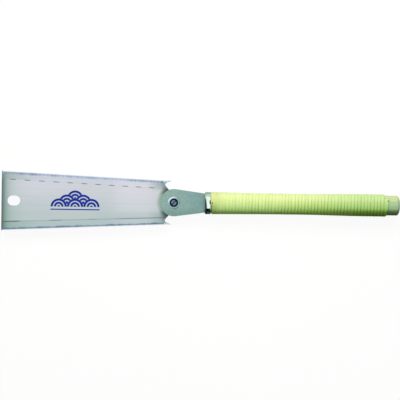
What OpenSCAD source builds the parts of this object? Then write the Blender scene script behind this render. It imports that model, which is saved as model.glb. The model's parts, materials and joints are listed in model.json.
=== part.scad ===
// Ryoba: a Japanese double-edged pull saw with a clamped blade and a rattan-wound handle.
// X runs along the saw towards the butt, Y across the blade towards the rip edge, and Z up from its face.

/* [Blade] */
// Length of each toothed edge, from the toe to the horn at the heel
edge_l = 250; // [200:1:320]
// Width at the toe, over the tooth tips
toe_w = 87.5; // [76:0.5:100]
// Width at the heel, over the tips of the horns
heel_w = 64; // [58:0.5:72]
// Thickness of the steel plate
plate_t = 0.6; // [0.4:0.05:1]
// Distance from the horn tips to the screw's axis, along the saw
horn_setback = 3; // [2:0.5:6]
// How far the heel notch runs forward from the horn tip
notch_l = 10; // [8:0.5:14]
// Radius at the root of the heel notch
notch_r = 2.8; // [1.5:0.1:3.5]
// Length of the hanging hole
hole_l = 18.5; // [16:0.5:24]
// Width of the hanging hole
hole_w = 14.5; // [8:0.5:15.5]
// Distance from the toe to the middle of the hanging hole
hole_inset = 18.2; // [15:0.1:30]
// Width of the tail that sits in the spacer's notch
tail_w = 16; // [13:0.5:20]
// Distance from the screw's axis to the end of the tail
tail_l = 26; // [20:0.5:32]
// Distance from the screw's axis to the shoulders beside the tail
shoulder_l = 6.8; // [5:0.1:9]

/* [Teeth] */
// Distance from tip to tip on the rip edge
rip_pitch = 2.8; // [2.4:0.1:4]
// Depth of the rip teeth
rip_depth = 2; // [1.2:0.1:2.6]
// Forward lean of a rip tooth's cutting face
rip_rake = 8; // [0:1:15]
// Distance from tip to tip on the crosscut edge
cross_pitch = 1.7; // [1.4:0.1:2.4]
// Depth of the crosscut teeth
cross_depth = 1.8; // [1:0.1:2.2]
// Angle at which alternate crosscut gullets are filed
cross_fleam = 15; // [0:1:20]
// Least flat left on the tip of a crosscut tooth
tip_land = 0.1; // [0.05:0.05:0.2]
// Bare stretch of edge at the toe
tooth_margin = 2; // [1:0.5:6]
// Least steel left between the last gullet and the heel notch
horn_wall = 0.8; // [0.4:0.1:2]

/* [Blade holder] */
// Radius of the holder's round nose
nose_r = 20; // [18.5:0.1:23]
// Thickness of each cheek
cheek_t = 2; // [1.5:0.1:3]
// Distance from the screw's axis to the mouth of the handle
holder_l = 45.6; // [38:0.1:60]
// Width of the holder at the mouth of the handle
holder_end_w = 28; // [24:0.5:30]
// Width of the tang in the handle
tang_w = 16; // [12:0.5:20]
// Length of the tang in the handle
tang_l = 70; // [60:1:100]
// Play of the blade between the cheeks, on each face
blade_play = 0.05; // [0.02:0.01:0.1]
// Play of the tail in the spacer's notch, on each side
tail_play = 0.2; // [0.1:0.05:0.4]

/* [Clamp screw] */
// Diameter of the screw's thread
screw_d = 6; // [5:0.5:7]
// Diameter of the pan head
head_d = 12; // [10:0.5:14]
// Height of the pan head
head_h = 3.6; // [3:0.1:4.5]
// Rounding of the pan head's edge
head_round = 2.2; // [1:0.1:2.6]
// Width of the driver slot
slot_w = 1.6; // [1.2:0.1:2]
// Depth of the driver slot
slot_depth = 1.6; // [1:0.1:2]
// Diameter of the washer
washer_d = 18; // [15:0.5:20]
// Thickness of the washer
washer_t = 1.6; // [1:0.1:2]
// Bevel on the washer's upper edge
washer_bevel = 0.6; // [0.2:0.1:0.8]
// Width of the nut across its flats
nut_af = 10; // [9:0.5:13]
// Height of the nut
nut_h = 5; // [3:0.1:6]
// Length of thread that shows past the nut
screw_end = 1.5; // [0.5:0.1:3]
// Play of the screw in the nut and the washer, on the radius
thread_play = 0.05; // [0.02:0.01:0.08]
// Play of the screw in the cheeks and the blade, on the radius
shank_play = 0.2; // [0.1:0.05:0.4]

/* [Handle] */
// Length of the wooden core, from the mouth to the butt
core_l = 285.6; // [240:0.1:330]
// Width of the core at the mouth
mouth_w = 29; // [26:0.1:32]
// Width of the core at the waist
waist_w = 26.8; // [24:0.1:30]
// Width of the core at the butt
butt_w = 29; // [26:0.1:32]
// Thickness of the core as a share of its width
oval = 0.8; // [0.7:0.01:1]
// Distance from the mouth to the waist
waist_l = 143; // [120:1:180]
// Distance from the waist to where the core is as wide as its butt
swell_l = 92; // [60:1:110]
// Length of bare wood past the rattan's end
butt_l = 16.2; // [12:0.2:40]
// Length along the saw over which the butt is rounded off
butt_round = 5; // [2:0.5:8]
// Width of the core where the butt's rounding meets its end
butt_flat = 9; // [4:0.5:18]
// Length of the ferrule
ferrule_l = 8.5; // [6:0.5:14]
// Wall of the ferrule
ferrule_t = 1.7; // [1:0.1:2]
// Length over which each end of the ferrule is eased down
ferrule_ease = 2.8; // [1:0.2:2.8]
// How far each end of the ferrule is eased down
ferrule_drop = 0.9; // [0.3:0.1:0.9]
// Diameter of the pins through the tang
pin_d = 4; // [3:0.5:5]
// Distance from the mouth to the first pin
pin_inset = 22; // [18:1:26]
// Distance between the pins
pin_gap = 30; // [20:1:32]
// Wood left over each end of a pin
pin_cover = 1.5; // [1:0.1:3]
// Clearance of pieces that seat in or on each other
seat_play = 0.05; // [0.02:0.01:0.1]

/* [Rattan] */
// Width of the strip, before its turns are spaced to fill the handle
strip_w = 4.8; // [4:0.1:8]
// Thickness of the strip
strip_t = 1.8; // [1.2:0.1:2.6]
// Depth of the groove between two turns
groove_depth = 0.7; // [0.3:0.1:1]
// Gap between the ferrule and the first turn
wrap_gap = 0.3; // [0.2:0.1:2]
// Share of the strip's width that is cut away where it starts
start_taper = 0.55; // [0.5:0.05:0.9]
// Angle at which the strip ends, from the rip side over the front
end_angle = 55; // [0:5:355]
// How far the strip's tail runs off past its last turn
tail_run = 2.6; // [0:0.1:4]
// Diameter of a tack's head
tack_d = 1.8; // [1.4:0.1:2.4]
// Length of a tack
tack_l = 5; // [4:0.5:7]
// Height of a tack's head over the strip
tack_h = 0.5; // [0.3:0.1:0.8]

/* [Hidden] */
$fn = 64;

// Blade, with the screw's axis at X = 0
horn_x = -horn_setback;
toe_x = horn_x - edge_l;
edge_taper = atan((toe_w - heel_w) / 2 / edge_l);
edge_run = edge_l / cos(edge_taper);
neck_w = 2 * sqrt(nose_r * nose_r - shoulder_l * shoulder_l) - 2 * tail_play;
neck_x = -sqrt(nose_r * nose_r - neck_w * neck_w / 4);

// Heel notch on the rip side: the horn's tip, the neck, the round root and where lines from both touch it
horn_tip = [horn_x, heel_w / 2];
neck_point = [neck_x, neck_w / 2];
notch_root = [horn_x - notch_l + notch_r, (2 * horn_tip.y + neck_point.y) / 3 - notch_r / 2];
notch_upper = touch_angle(notch_root, notch_r, horn_tip, 1);
notch_lower = touch_angle(notch_root, notch_r, neck_point, -1) + 360;
horn_angle = edge_taper + notch_upper - 90;

// Stack of the holder, up and down from the blade's middle
gap_half = plate_t / 2 + blade_play;
cheek_top = gap_half + cheek_t;
washer_top = cheek_top + washer_t;
nut_bottom = -cheek_top - nut_h;

// Handle along X
mouth_x = holder_l;
core_end = mouth_x + core_l;
waist_x = mouth_x + waist_l;
wrap_start = mouth_x + ferrule_l + wrap_gap;
wrap_end = core_end - butt_l;
turns = round((wrap_end - wrap_start) / strip_w) - 1;
// Points round one turn, how many the ends lap past whole turns, and how many the tail takes to run off
turn_steps = 16;
lap_steps = 2;
tail_steps = 6;
strip_steps = turns * turn_steps + lap_steps;
strip_pitch = (wrap_end - tail_run - wrap_start) / (strip_steps / turn_steps + 1 - start_taper);
strip_start = wrap_start - start_taper * strip_pitch;
start_angle = end_angle + 360 * strip_steps / turn_steps;

// Placing: the middle of the whole length over the origin, and the lowest point on the ground
middle_x = (toe_x + core_end) / 2;
ground = oval * max(wrap_bore(wrap_start), wrap_bore(wrap_end)) + strip_t;
// Angle at which the screw's slot stands, and how far a cut runs past what it cuts
slot_turn = 45;
overcut = 1;

// Blend from 0 to 1 with level ends
function smooth(s) = s * s * (3 - 2 * s);

// Half width of the wooden core at a place along the saw
function core_half(x) =
    x < waist_x
    ? waist_w / 2 + (mouth_w - waist_w) / 2 * pow((waist_x - x) / waist_l, 2)
    : waist_w / 2 + (butt_w - waist_w) / 2 * smooth(min(1, (x - waist_x) / swell_l));

// Half width of the faceted bore of the winding, which clears the core by the seat's play
function wrap_bore(x) = (core_half(x) + seat_play) / cos(180 / turn_steps);

// Angle at which a line from p touches a circle, on the left (1) or right (-1) as seen from its centre
function touch_angle(c, r, p, side) = atan2(p.y - c.y, p.x - c.x) + side * acos(r / norm(p - c));

// Point of a circle at an angle
function on_circle(c, r, a) = c + r * [cos(a), sin(a)];

module place() translate([-middle_x, 0, ground]) children();

// Turns a solid made along Z so that it lies along X
module along_x() rotate([0, 90, 0]) children();

module mirror_y() {
    children();
    mirror([0, 1, 0]) children();
}

// Number of teeth that fit between the toe and the place where the horn gets too thin for their gullets
function tooth_count(pitch, depth) =
    floor((edge_run - tooth_margin - (depth + horn_wall) / tan(horn_angle)) / pitch);

// Outline of the rip edge's teeth, from the toe to the horn, in the edge's own line
function rip_teeth() =
    let(n = tooth_count(rip_pitch, rip_depth), lean = rip_depth * tan(rip_rake))
    concat(
        [for (i = [0:n - 1], p = [[0, 0], [-lean, -rip_depth]]) [tooth_margin + i * rip_pitch, 0] + p],
        [[tooth_margin + n * rip_pitch, 0]]);

// A point of the rip edge's line in the blade's plane
function rip_point(p) =
    [toe_x + p.x * cos(edge_taper) + p.y * sin(edge_taper),
     toe_w / 2 - p.x * sin(edge_taper) + p.y * cos(edge_taper)];

module heel_notch() {
    past = shoulder_l + overcut;
    steps = 12;
    root = [for (i = [0:steps])
        on_circle(notch_root, notch_r, notch_upper + (notch_lower - notch_upper) * i / steps)];
    polygon(concat(root, [neck_point, [past, neck_point.y], [past, horn_tip.y], horn_tip]));
}

module hanging_hole() {
    run = hole_l - hole_w;
    translate([toe_x + hole_inset, 0]) {
        square([run, hole_w], center = true);
        for (side = [-1, 1]) translate([side * run / 2, 0]) circle(d = hole_w);
    }
}

// Open fork that lets the blade slide off the screw
module fork_slot() {
    width = screw_d + 2 * shank_play;
    circle(d = width);
    translate([0, -width / 2]) square([tail_l + overcut, width]);
}

module blade_outline() {
    rip_edge = [for (p = rip_teeth()) rip_point(p)];
    upper_heel = [
        horn_tip, [horn_x, neck_w / 2], [shoulder_l, neck_w / 2],
        [shoulder_l, tail_w / 2], [tail_l, tail_w / 2]];
    lower_heel = [for (i = [len(upper_heel) - 1:-1:0]) [upper_heel[i].x, -upper_heel[i].y]];
    difference() {
        polygon(concat([[toe_x, -toe_w / 2], [toe_x, toe_w / 2]], rip_edge, upper_heel, lower_heel));
        mirror_y() heel_notch();
        hanging_hole();
        fork_slot();
    }
}

// One pass of a three-cornered file between two crosscut teeth
module file_cut() {
    half = (cross_pitch - plate_t * tan(cross_fleam) - tip_land) / 2;
    root = [-half / 3, cross_depth];
    // Both flanks run on past the edge, by no more than the land between two cuts
    reach = 1 + tip_land / cross_depth;
    linear_extrude(height = plate_t + 2 * overcut, center = true)
        polygon([root, for (side = [-half, half]) root + reach * ([side, 0] - root)]);
}

module crosscut_gullets() {
    n = tooth_count(cross_pitch, cross_depth);
    translate([toe_x, -toe_w / 2]) rotate(edge_taper)
        for (i = [0:n - 1])
            translate([tooth_margin + (i + 0.5) * cross_pitch, 0])
                rotate([0, (i % 2 == 0 ? 1 : -1) * cross_fleam, 0]) file_cut();
}

module blade() {
    color([0.78, 0.81, 0.81])
        difference() {
            linear_extrude(height = plate_t, center = true) blade_outline();
            crosscut_gullets();
        }
}

// Plate with the holder's outline: round nose, straight taper to the handle, then the tang
module holder_plate(t) {
    end = [mouth_x - seat_play, holder_end_w / 2];
    flank = on_circle([0, 0], nose_r, touch_angle([0, 0], nose_r, end, 1));
    cylinder(r = nose_r, h = t);
    linear_extrude(height = t) polygon([[0, 0], flank, end, [end.x, -end.y], [flank.x, -flank.y]]);
    translate([mouth_x - overcut, -tang_w / 2, 0]) cube([tang_l + overcut, tang_w, t]);
}

// Two cylinders across the tang, at the pins' places
module pin_pair(r, reach) {
    for (i = [0, 1])
        translate([mouth_x + pin_inset + i * pin_gap, 0, -reach]) cylinder(r = r, h = 2 * reach);
}

module cheek() {
    difference() {
        holder_plate(cheek_t);
        translate([0, 0, -overcut]) cylinder(r = screw_d / 2 + shank_play, h = cheek_t + 2 * overcut);
        pin_pair(pin_d / 2 + seat_play, cheek_t + overcut);
    }
}

module holder_front_cheek() {
    color([0.52, 0.65, 0.65]) translate([0, 0, gap_half]) cheek();
}

module holder_back_cheek() {
    color([0.47, 0.58, 0.57]) translate([0, 0, -cheek_top]) cheek();
}

module holder_spacer() {
    front = shoulder_l + tail_play;
    notch = [tail_l + tail_play, tail_w + 2 * tail_play, 2 * gap_half + 2 * overcut];
    room = nose_r + overcut;
    color([0.45, 0.55, 0.54])
        translate([0, 0, -gap_half])
            difference() {
                holder_plate(2 * gap_half);
                translate([-room, -room, -overcut]) cube([room + front, 2 * room, notch.z]);
                translate([0, -notch.y / 2, -overcut]) cube(notch);
                pin_pair(pin_d / 2 + seat_play, notch.z);
            }
}

module clamp_screw() {
    color([0.2, 0.26, 0.31]) {
        difference() {
            translate([0, 0, washer_top])
                rotate_extrude() {
                    square([head_d / 2 - head_round, head_h]);
                    square([head_d / 2, head_h - head_round]);
                    intersection() {
                        translate([head_d / 2 - head_round, head_h - head_round]) circle(head_round);
                        square([head_d, head_h]);
                    }
                }
            rotate(slot_turn)
                translate([-head_d / 2, -slot_w / 2, washer_top + head_h - slot_depth])
                    cube([head_d, slot_w, slot_depth + overcut]);
        }
        translate([0, 0, nut_bottom - screw_end])
            cylinder(d = screw_d, h = washer_top - nut_bottom + screw_end);
    }
}

module clamp_washer() {
    r = washer_d / 2;
    rim_h = washer_t - washer_bevel;
    color([0.76, 0.82, 0.83])
        translate([0, 0, cheek_top])
            difference() {
                rotate_extrude()
                    polygon([[0, 0], [r, 0], [r, rim_h], [r - washer_bevel, washer_t], [0, washer_t]]);
                translate([0, 0, -overcut])
                    cylinder(r = screw_d / 2 + thread_play, h = washer_t + 2 * overcut);
            }
}

module clamp_nut() {
    color([0.6, 0.64, 0.66])
        translate([0, 0, nut_bottom])
            difference() {
                cylinder(d = nut_af / cos(30), h = nut_h, $fn = 6);
                translate([0, 0, -overcut]) cylinder(r = screw_d / 2 + thread_play, h = nut_h + 2 * overcut);
            }
}

// Oval slab across the saw: where it starts, its length, its half width and its half thickness
module oval_slab(start, run, wide, thick) {
    sides = 48;
    translate([start, 0, 0]) along_x() linear_extrude(height = run)
        polygon([for (i = [0:sides - 1]) let(a = 360 * i / sides) [thick * sin(a), wide * cos(a)]]);
}

module ferrule() {
    bore = mouth_w / 2 + 2 * seat_play;
    color([0.85, 0.9, 0.9])
        difference() {
            hull()
                for (a = [0:22.5:90]) {
                    short = ferrule_ease * (1 - sin(a));
                    grow = ferrule_t - ferrule_drop * (1 - cos(a));
                    oval_slab(mouth_x + short, ferrule_l - 2 * short, bore + grow, oval * bore + grow);
                }
            oval_slab(mouth_x - overcut, ferrule_l + 2 * overcut, bore, oval * bore);
        }
}

// Quarter of an oval about c with half axes r, from the X axis to the Y axis
function quarter(c, r) = [for (a = [0:15:90]) c + [r.x * cos(a), r.y * sin(a)]];

// Half profile of the core, as distance from the axis and place along the saw, with some length to cut off
function core_profile() =
    let(steps = 16, run = wrap_end - mouth_x, spare = 0.1)
    concat(
        [[0, mouth_x]],
        [for (i = [0:steps]) let(x = mouth_x + run * i / steps) [core_half(x), x]],
        quarter([butt_flat / 2, core_end + spare - butt_round], [(butt_w - butt_flat) / 2, butt_round]),
        [[0, core_end + spare]]);

// Half of the core: side 1 is the front, and -1 the back
module core_half_solid(side) {
    pocket = [tang_l + overcut + seat_play, tang_w + 2 * seat_play, 2 * (cheek_top + seat_play)];
    difference() {
        scale([1, 1, oval]) along_x() rotate(side * 90) rotate_extrude(angle = 180) polygon(core_profile());
        translate([mouth_x - overcut, -pocket.y / 2, -pocket.z / 2]) cube(pocket);
        pin_pair(pin_d / 2 + seat_play, pin_reach());
        translate([core_end, -butt_w, -butt_w]) cube([overcut, 2 * butt_w, 2 * butt_w]);
    }
}

// How far the pins reach from the middle, under the thinnest wood above them
function pin_reach() = oval * core_half(mouth_x + pin_inset + pin_gap) - pin_cover;

module handle_front_half() {
    color([0.75, 0.83, 0.66]) core_half_solid(1);
}

module handle_back_half() {
    color([0.7, 0.78, 0.61]) core_half_solid(-1);
}

module tang_pins() {
    color([0.55, 0.57, 0.6])
        pin_pair(pin_d / 2, pin_reach() - seat_play);
}

// How far the tail has run off at step i along the strip
function tail(i) = tail_run * smooth(max(0, 1 - (strip_steps - i) / tail_steps));

// A point of the winding: step i along the strip, a share across it, and a height over the wood
function wound(i, across, height) =
    let(
        x = max(wrap_start, strip_start + (i / turn_steps + across) * strip_pitch + across * tail(i)),
        a = start_angle - 360 * i / turn_steps,
        half = wrap_bore(x))
    [x, (half + height) * cos(a), (oval * half + height) * sin(a)];

module rattan_wrap() {
    n = strip_steps;
    s = turn_steps;
    edge_h = strip_t - groove_depth;
    crown_in = 0.25;
    // Four rows of points along the strip: inner edge, outer edge and the two shoulders of its crown.
    // Each turn's far edge is the next turn's near edge, and the last turn's far edge goes on past the end.
    rows = [for (i = [0:n + s]) let(step = i > n ? i - s : i, side = i > n ? 1 : 0) [
        wound(step, side, 0), wound(step, side, edge_h),
        wound(step, crown_in, strip_t), wound(step, 1 - crown_in, strip_t)]];
    points = [for (r = rows, p = r) p];
    function inner(i) = 4 * i;
    function edge(i) = 4 * i + 1;
    function near(i) = 4 * i + 2;
    function far(i) = 4 * i + 3;
    function quad(a, b, c, d) = [[a, b, c], [a, c, d]];
    crown = [for (i = [0:n - 1]) each concat(
        quad(edge(i), near(i), near(i + 1), edge(i + 1)),
        quad(near(i), far(i), far(i + 1), near(i + 1)),
        quad(far(i), edge(i + s), edge(i + s + 1), far(i + 1)),
        quad(inner(i + s), inner(i), inner(i + 1), inner(i + s + 1)))];
    rims = [for (i = [0:s - 1]) each concat(
        quad(inner(i), edge(i), edge(i + 1), inner(i + 1)),
        quad(edge(n + i), inner(n + i), inner(n + i + 1), edge(n + i + 1)))];
    cut_ends = [
        [inner(0), inner(s), edge(s), far(0), near(0), edge(0)],
        [edge(n), near(n), far(n), edge(n + s), inner(n + s), inner(n)]];
    color([0.75, 0.85, 0.55]) polyhedron(points, concat(crown, rims, cut_ends));
}

// A tack driven square into the strip at a place along the saw and an angle round it
module tack(x, a) {
    half = wrap_bore(x);
    wide = half + strip_t;
    thick = oval * half + strip_t;
    lean = atan2(sin(a) / thick, cos(a) / wide);
    translate([x, wide * cos(a), thick * sin(a)]) rotate([lean - 90, 0, 0]) {
        cylinder(d = tack_d, h = tack_h);
        translate([0, 0, -tack_l]) cylinder(d = tack_d / 2, h = tack_l);
    }
}

module wrap_tacks() {
    half_step = 180 / turn_steps;
    color([0.25, 0.28, 0.2]) {
        tack(wrap_start + tack_d, start_angle - half_step);
        tack(wrap_end - tack_d, end_angle + half_step);
    }
}

place() blade();
place() holder_front_cheek();
place() holder_back_cheek();
place() holder_spacer();
place() clamp_screw();
place() clamp_washer();
place() clamp_nut();
place() ferrule();
place() handle_front_half();
place() handle_back_half();
place() tang_pins();
place() rattan_wrap();
place() wrap_tacks();
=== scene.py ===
import json
import math

import bpy
from mathutils import Matrix, Vector, noise


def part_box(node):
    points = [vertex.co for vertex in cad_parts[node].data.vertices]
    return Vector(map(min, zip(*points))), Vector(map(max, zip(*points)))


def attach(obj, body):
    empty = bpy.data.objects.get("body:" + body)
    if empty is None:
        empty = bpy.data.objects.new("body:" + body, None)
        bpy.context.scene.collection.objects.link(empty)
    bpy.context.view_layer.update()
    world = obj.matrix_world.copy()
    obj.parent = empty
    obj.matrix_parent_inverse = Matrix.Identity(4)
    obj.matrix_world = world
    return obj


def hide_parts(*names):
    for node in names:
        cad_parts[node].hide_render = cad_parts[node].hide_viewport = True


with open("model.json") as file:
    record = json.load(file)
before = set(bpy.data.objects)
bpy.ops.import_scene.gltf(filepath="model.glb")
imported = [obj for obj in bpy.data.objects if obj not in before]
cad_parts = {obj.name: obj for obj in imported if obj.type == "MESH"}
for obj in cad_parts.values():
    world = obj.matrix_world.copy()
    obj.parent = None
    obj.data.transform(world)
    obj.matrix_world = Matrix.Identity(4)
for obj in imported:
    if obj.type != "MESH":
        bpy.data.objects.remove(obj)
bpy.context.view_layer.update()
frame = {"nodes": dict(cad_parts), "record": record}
scene = bpy.context.scene

# Lengths are written in millimetres and used in metres
MM = 0.001


def box_middle(node):
    """Middle of a node's box."""
    low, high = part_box(node)
    return (low + high) / 2


# Places read from the solids
SCREW = box_middle("clamp_washer")
AXIS_Z = box_middle("blade").z
TOE_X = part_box("blade")[0].x
TOE_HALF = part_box("blade")[1].y
MOUTH_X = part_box("ferrule")[0].x
FERRULE_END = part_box("ferrule")[1].x
WRAP_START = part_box("rattan_wrap")[0].x
WRAP_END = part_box("rattan_wrap")[1].x
BUTT_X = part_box("handle_front_half")[1].x
CHEEK_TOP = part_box("holder_front_cheek")[1].z
NUT_LOW, NUT_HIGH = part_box("clamp_nut")
SCREW_LOW, SCREW_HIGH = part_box("clamp_screw")
WASHER_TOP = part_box("clamp_washer")[1].z
PINS_LOW, PINS_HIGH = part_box("tang_pins")
TACKS_LOW, TACKS_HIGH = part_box("wrap_tacks")

# Blade: length of its toothed edges, half its width at the heel, and the pitch of its teeth
EDGE_L = 250 * MM
HEEL_HALF = 32 * MM
RIP_PITCH = 2.8 * MM
CROSS_PITCH = 1.7 * MM
EDGE_SLOPE = (TOE_HALF - HEEL_HALF) / EDGE_L

# Wooden core: an oval that is narrowest at its waist and ends in a rounded butt
MOUTH_HALF = 14.5 * MM
WAIST_HALF = 13.4 * MM
BUTT_HALF = 14.5 * MM
WAIST_L = 143 * MM
SWELL_L = 92 * MM
OVAL = 0.8
BUTT_ROUND = 5 * MM
BUTT_FLAT_HALF = 4.5 * MM
BUTT_SPARE = 0.1 * MM

# Tang and pins in the core, the play round them, and half the seam between the core's halves
TANG_HALF = 8 * MM
TANG_L = 70 * MM
PIN_R = 2 * MM
SEAT = 0.05 * MM
SEAM = 0.03 * MM

# Ferrule: its wall, and the length and drop of its rounded rims
FERRULE_T = 1.7 * MM
FERRULE_EASE = 2.8 * MM
FERRULE_DROP = 0.9 * MM

# Rattan strip: its section and turns, the share of a turn cut off at the ferrule, and its lifted tail
STRIP_T = 1.8 * MM
STRIP_PLAY = 0.15 * MM
STRIP_TURNS = 53.125
STRIP_CUT = 0.55
STRIP_END_ANGLE = math.radians(55)
TAIL_RUN = 2.6 * MM
TAIL_TURNS = 0.375
STRIP_PITCH = (WRAP_END - TAIL_RUN - WRAP_START) / (STRIP_TURNS + 1 - STRIP_CUT)
STRIP_START_ANGLE = STRIP_END_ANGLE + math.tau * STRIP_TURNS
STRIP_UV = "strip"

# Tacks
TACK_R = 0.9 * MM
TACK_H = 0.5 * MM
TACK_L = 5 * MM
TACK_SETBACK = math.radians(11.25)

# Screw and nut
HEAD_R = 6 * MM
HEAD_ROUND = 2.2 * MM
HEAD_EASE = 0.2 * MM
HEAD_FLAT_R = 1.6 * MM
SLOT_W = 1.6 * MM
SLOT_DEPTH = 1.6 * MM
SLOT_ANGLE = math.radians(45)
THREAD_R = 3 * MM
THREAD_DEPTH = 0.55 * MM
THREAD_PITCH = 1 * MM
THREAD_LEAD_IN = 0.7 * MM
THREAD_RUN_OUT = 0.2 * MM
NUT_AF = 10 * MM
NUT_BITE = 0.02 * MM
NUT_CHAMFER = math.radians(30)

# Broken edges of the sheared cheeks
EDGE_BREAK = 0.35 * MM
EDGE_ANGLE = math.radians(40)
WELD_GAP = 0.001 * MM
FLAT_ANGLE = math.radians(1)

# View: where the screw is in the image, the size of a pixel there, and the saw's tilt
IMAGE_SIDE = 400
SCREW_PIXEL = (173.9, 202.65)
PIXEL = 1.4677 * MM
ROLL = math.radians(0.78)
LENS = 150
SENSOR = 36

# Lamps: a wide one behind the saw, and a narrow one in front, aimed near the holder
KEY_POWER = 37
KEY_SIZE = (1800 * MM, 800 * MM)
KEY_PLACE = (0, 1226 * MM, 1028 * MM)
KEY_AIM = (0, 0, 0)
FILL_POWER = 0.06
FILL_SIZE = (300 * MM, 300 * MM)
FILL_PLACE = (-125 * MM, -315 * MM, 616 * MM)
FILL_AIM = (50 * MM, 0, 14 * MM)
FILL_SPREAD = math.radians(27)

# Stage: the floor's size, its grey under the lamps and its glow, and the light from all round
FLOOR_HALF = 6000 * MM
FLOOR_GREY = 0.07
FLOOR_GLOW = 0.93
WORLD_LEVEL = 0.24
WORLD_TINT = (0.9, 1.06, 0.66)
BLACK = (0, 0, 0, 1)
WHITE = (1, 1, 1, 1)

# Cards: how far they stand in front and behind, where the front ones end, and how the back is parted
CARD_Y = 350 * MM
CARD_LEFT = -60 * MM
CARD_RIGHT = 310 * MM
CARD_TOP = 325 * MM
BACK_HALF = 300 * MM
BACK_PART = 120 * MM
BACK_TOP = 240 * MM

# Cards that lie over the floor: their height, and their gap from the saw's middle line
CARD_LIFT = 0.5 * MM
CARD_CLEAR = 4 * MM

# How far past the ferrule its own cards reach
FERRULE_ROOM = 30 * MM


def srgb(r, g, b):
    """A colour as it looks on screen, from 0 to 255, as linear values."""
    def linear(c):
        c = c / 255
        return c / 12.92 if c <= 0.04045 else ((c + 0.055) / 1.055) ** 2.4
    return (linear(r), linear(g), linear(b), 1)


def smooth(s):
    """s from 0 to 1, eased at both ends, and held there beyond."""
    s = min(1, max(0, s))
    return s * s * (3 - 2 * s)


def place_new(name, data):
    """A new object in the scene."""
    made = bpy.data.objects.new(name, data)
    scene.collection.objects.link(made)
    return made


# Node trees and materials
class Nodes:
    """A tree of shader nodes, which are made by kind and joined by their sockets."""

    # The sockets of a Mix node that are for colours
    MIX_SHARE, MIX_A, MIX_B = 0, 6, 7
    MIX_RESULT = 2

    def __init__(self, tree):
        self.tree = tree

    def node(self, kind, inputs=None, **settings):
        """A new node with its settings, and its inputs by name or number."""
        made = self.tree.nodes.new("ShaderNode" + kind)
        for name, value in settings.items():
            setattr(made, name, value)
        for name, value in (inputs or {}).items():
            self.feed(made.inputs[name], value)
        return made

    def feed(self, socket, value):
        """Joins a socket to another one, or sets its value."""
        if isinstance(value, bpy.types.NodeSocket):
            self.tree.links.new(value, socket)
        else:
            socket.default_value = value

    def math(self, operation, *values):
        """The result of an operation on values or sockets."""
        made = self.node("Math", dict(enumerate(values)), operation=operation)
        return made.outputs[0]

    def plus(self, a, b):
        return self.math("ADD", a, b)

    def minus(self, a, b):
        return self.math("SUBTRACT", a, b)

    def times(self, *values):
        """The product of two or more values."""
        product = values[0]
        for value in values[1:]:
            product = self.math("MULTIPLY", product, value)
        return product

    def over(self, a, b):
        return self.math("DIVIDE", a, b)

    def greater(self, a, b):
        """The greater of two values."""
        return self.math("MAXIMUM", a, b)

    def above(self, a, b):
        """1 where a is above b, and 0 elsewhere."""
        return self.math("GREATER_THAN", a, b)

    def apart(self, a, b):
        """How far apart two values are."""
        return self.math("ABSOLUTE", self.minus(a, b))

    def hypot(self, a, b):
        """The long side of a right-angled triangle with sides a and b."""
        return self.math("SQRT", self.plus(self.times(a, a), self.times(b, b)))

    def mix(self, share, a, b):
        """Colour a where share is 0, and b where it is 1."""
        made = self.node("Mix", {self.MIX_SHARE: share, self.MIX_A: a, self.MIX_B: b}, data_type="RGBA")
        return made.outputs[self.MIX_RESULT]

    def background_rays(self):
        """1 where the camera, a mirror or glass sees the background, and 0 where light bounces."""
        path = self.node("LightPath").outputs
        seen = path["Is Camera Ray"]
        for other in ("Is Glossy Ray", "Is Transmission Ray"):
            seen = self.greater(seen, path[other])
        return seen


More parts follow.
